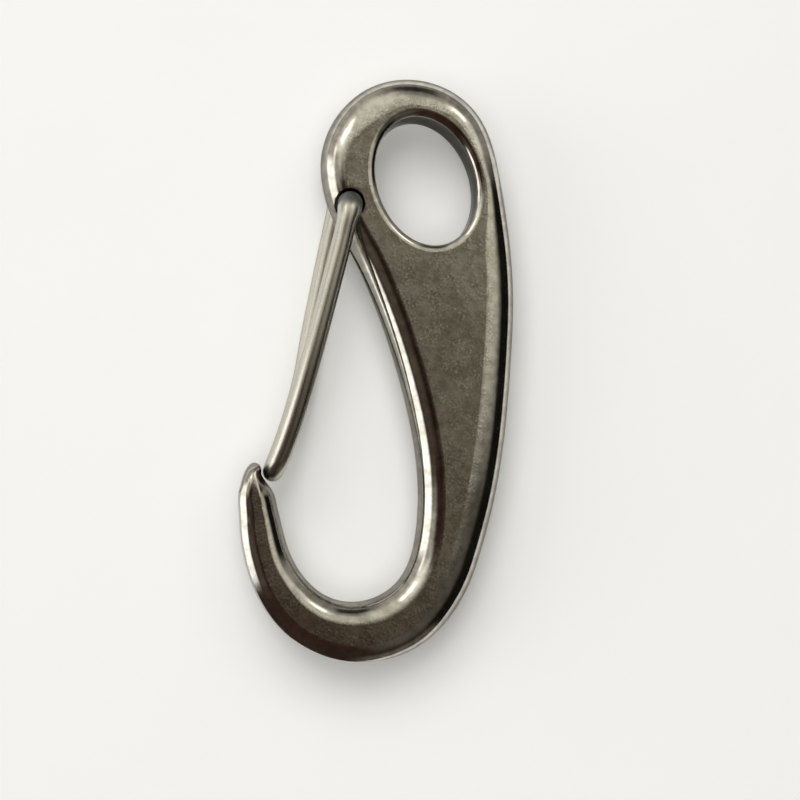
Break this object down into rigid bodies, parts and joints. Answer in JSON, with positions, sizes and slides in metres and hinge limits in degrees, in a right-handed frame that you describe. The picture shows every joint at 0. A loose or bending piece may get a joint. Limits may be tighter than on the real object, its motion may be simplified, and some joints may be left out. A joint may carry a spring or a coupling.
{
  "type": "snap hook",
  "caption": "Egg-shaped one-piece metal snap hook with an oval mooring eye and a sprung bent-wire gate across its mouth.",
  "frame": {"origin": "centre of the footprint, level with the lowest point of the gate's back leg, with the hook lying on its back face", "axes": "+Y from the bowl to the mooring eye along the load line, +X from the gate side to the spine side, +Z out of the front face through the thickness"},
  "size_m": [0.043, 0.1, 0.0151],
  "materials": {
    "cast_stainless": "tumble-polished cast stainless steel, satin flats with fine pits and bright rounded edges",
    "spring_wire": "bright drawn stainless spring wire"
  },
  "bodies": {
    "hook": {"hook_body": "cast_stainless"},
    "gate": {"wire_gate": "spring_wire"}
  },
  "joints": [
    {"name": "gate_hinge", "type": "hinge", "parent": "hook", "child": "gate", "pos_m": [-0.01295, 0.02732, 0.00756], "axis": [0, 0, 1], "range_deg": [0, 26], "stiffness_Nm_per_rad": 0.8, "springref_deg": -20.05}
  ]
}
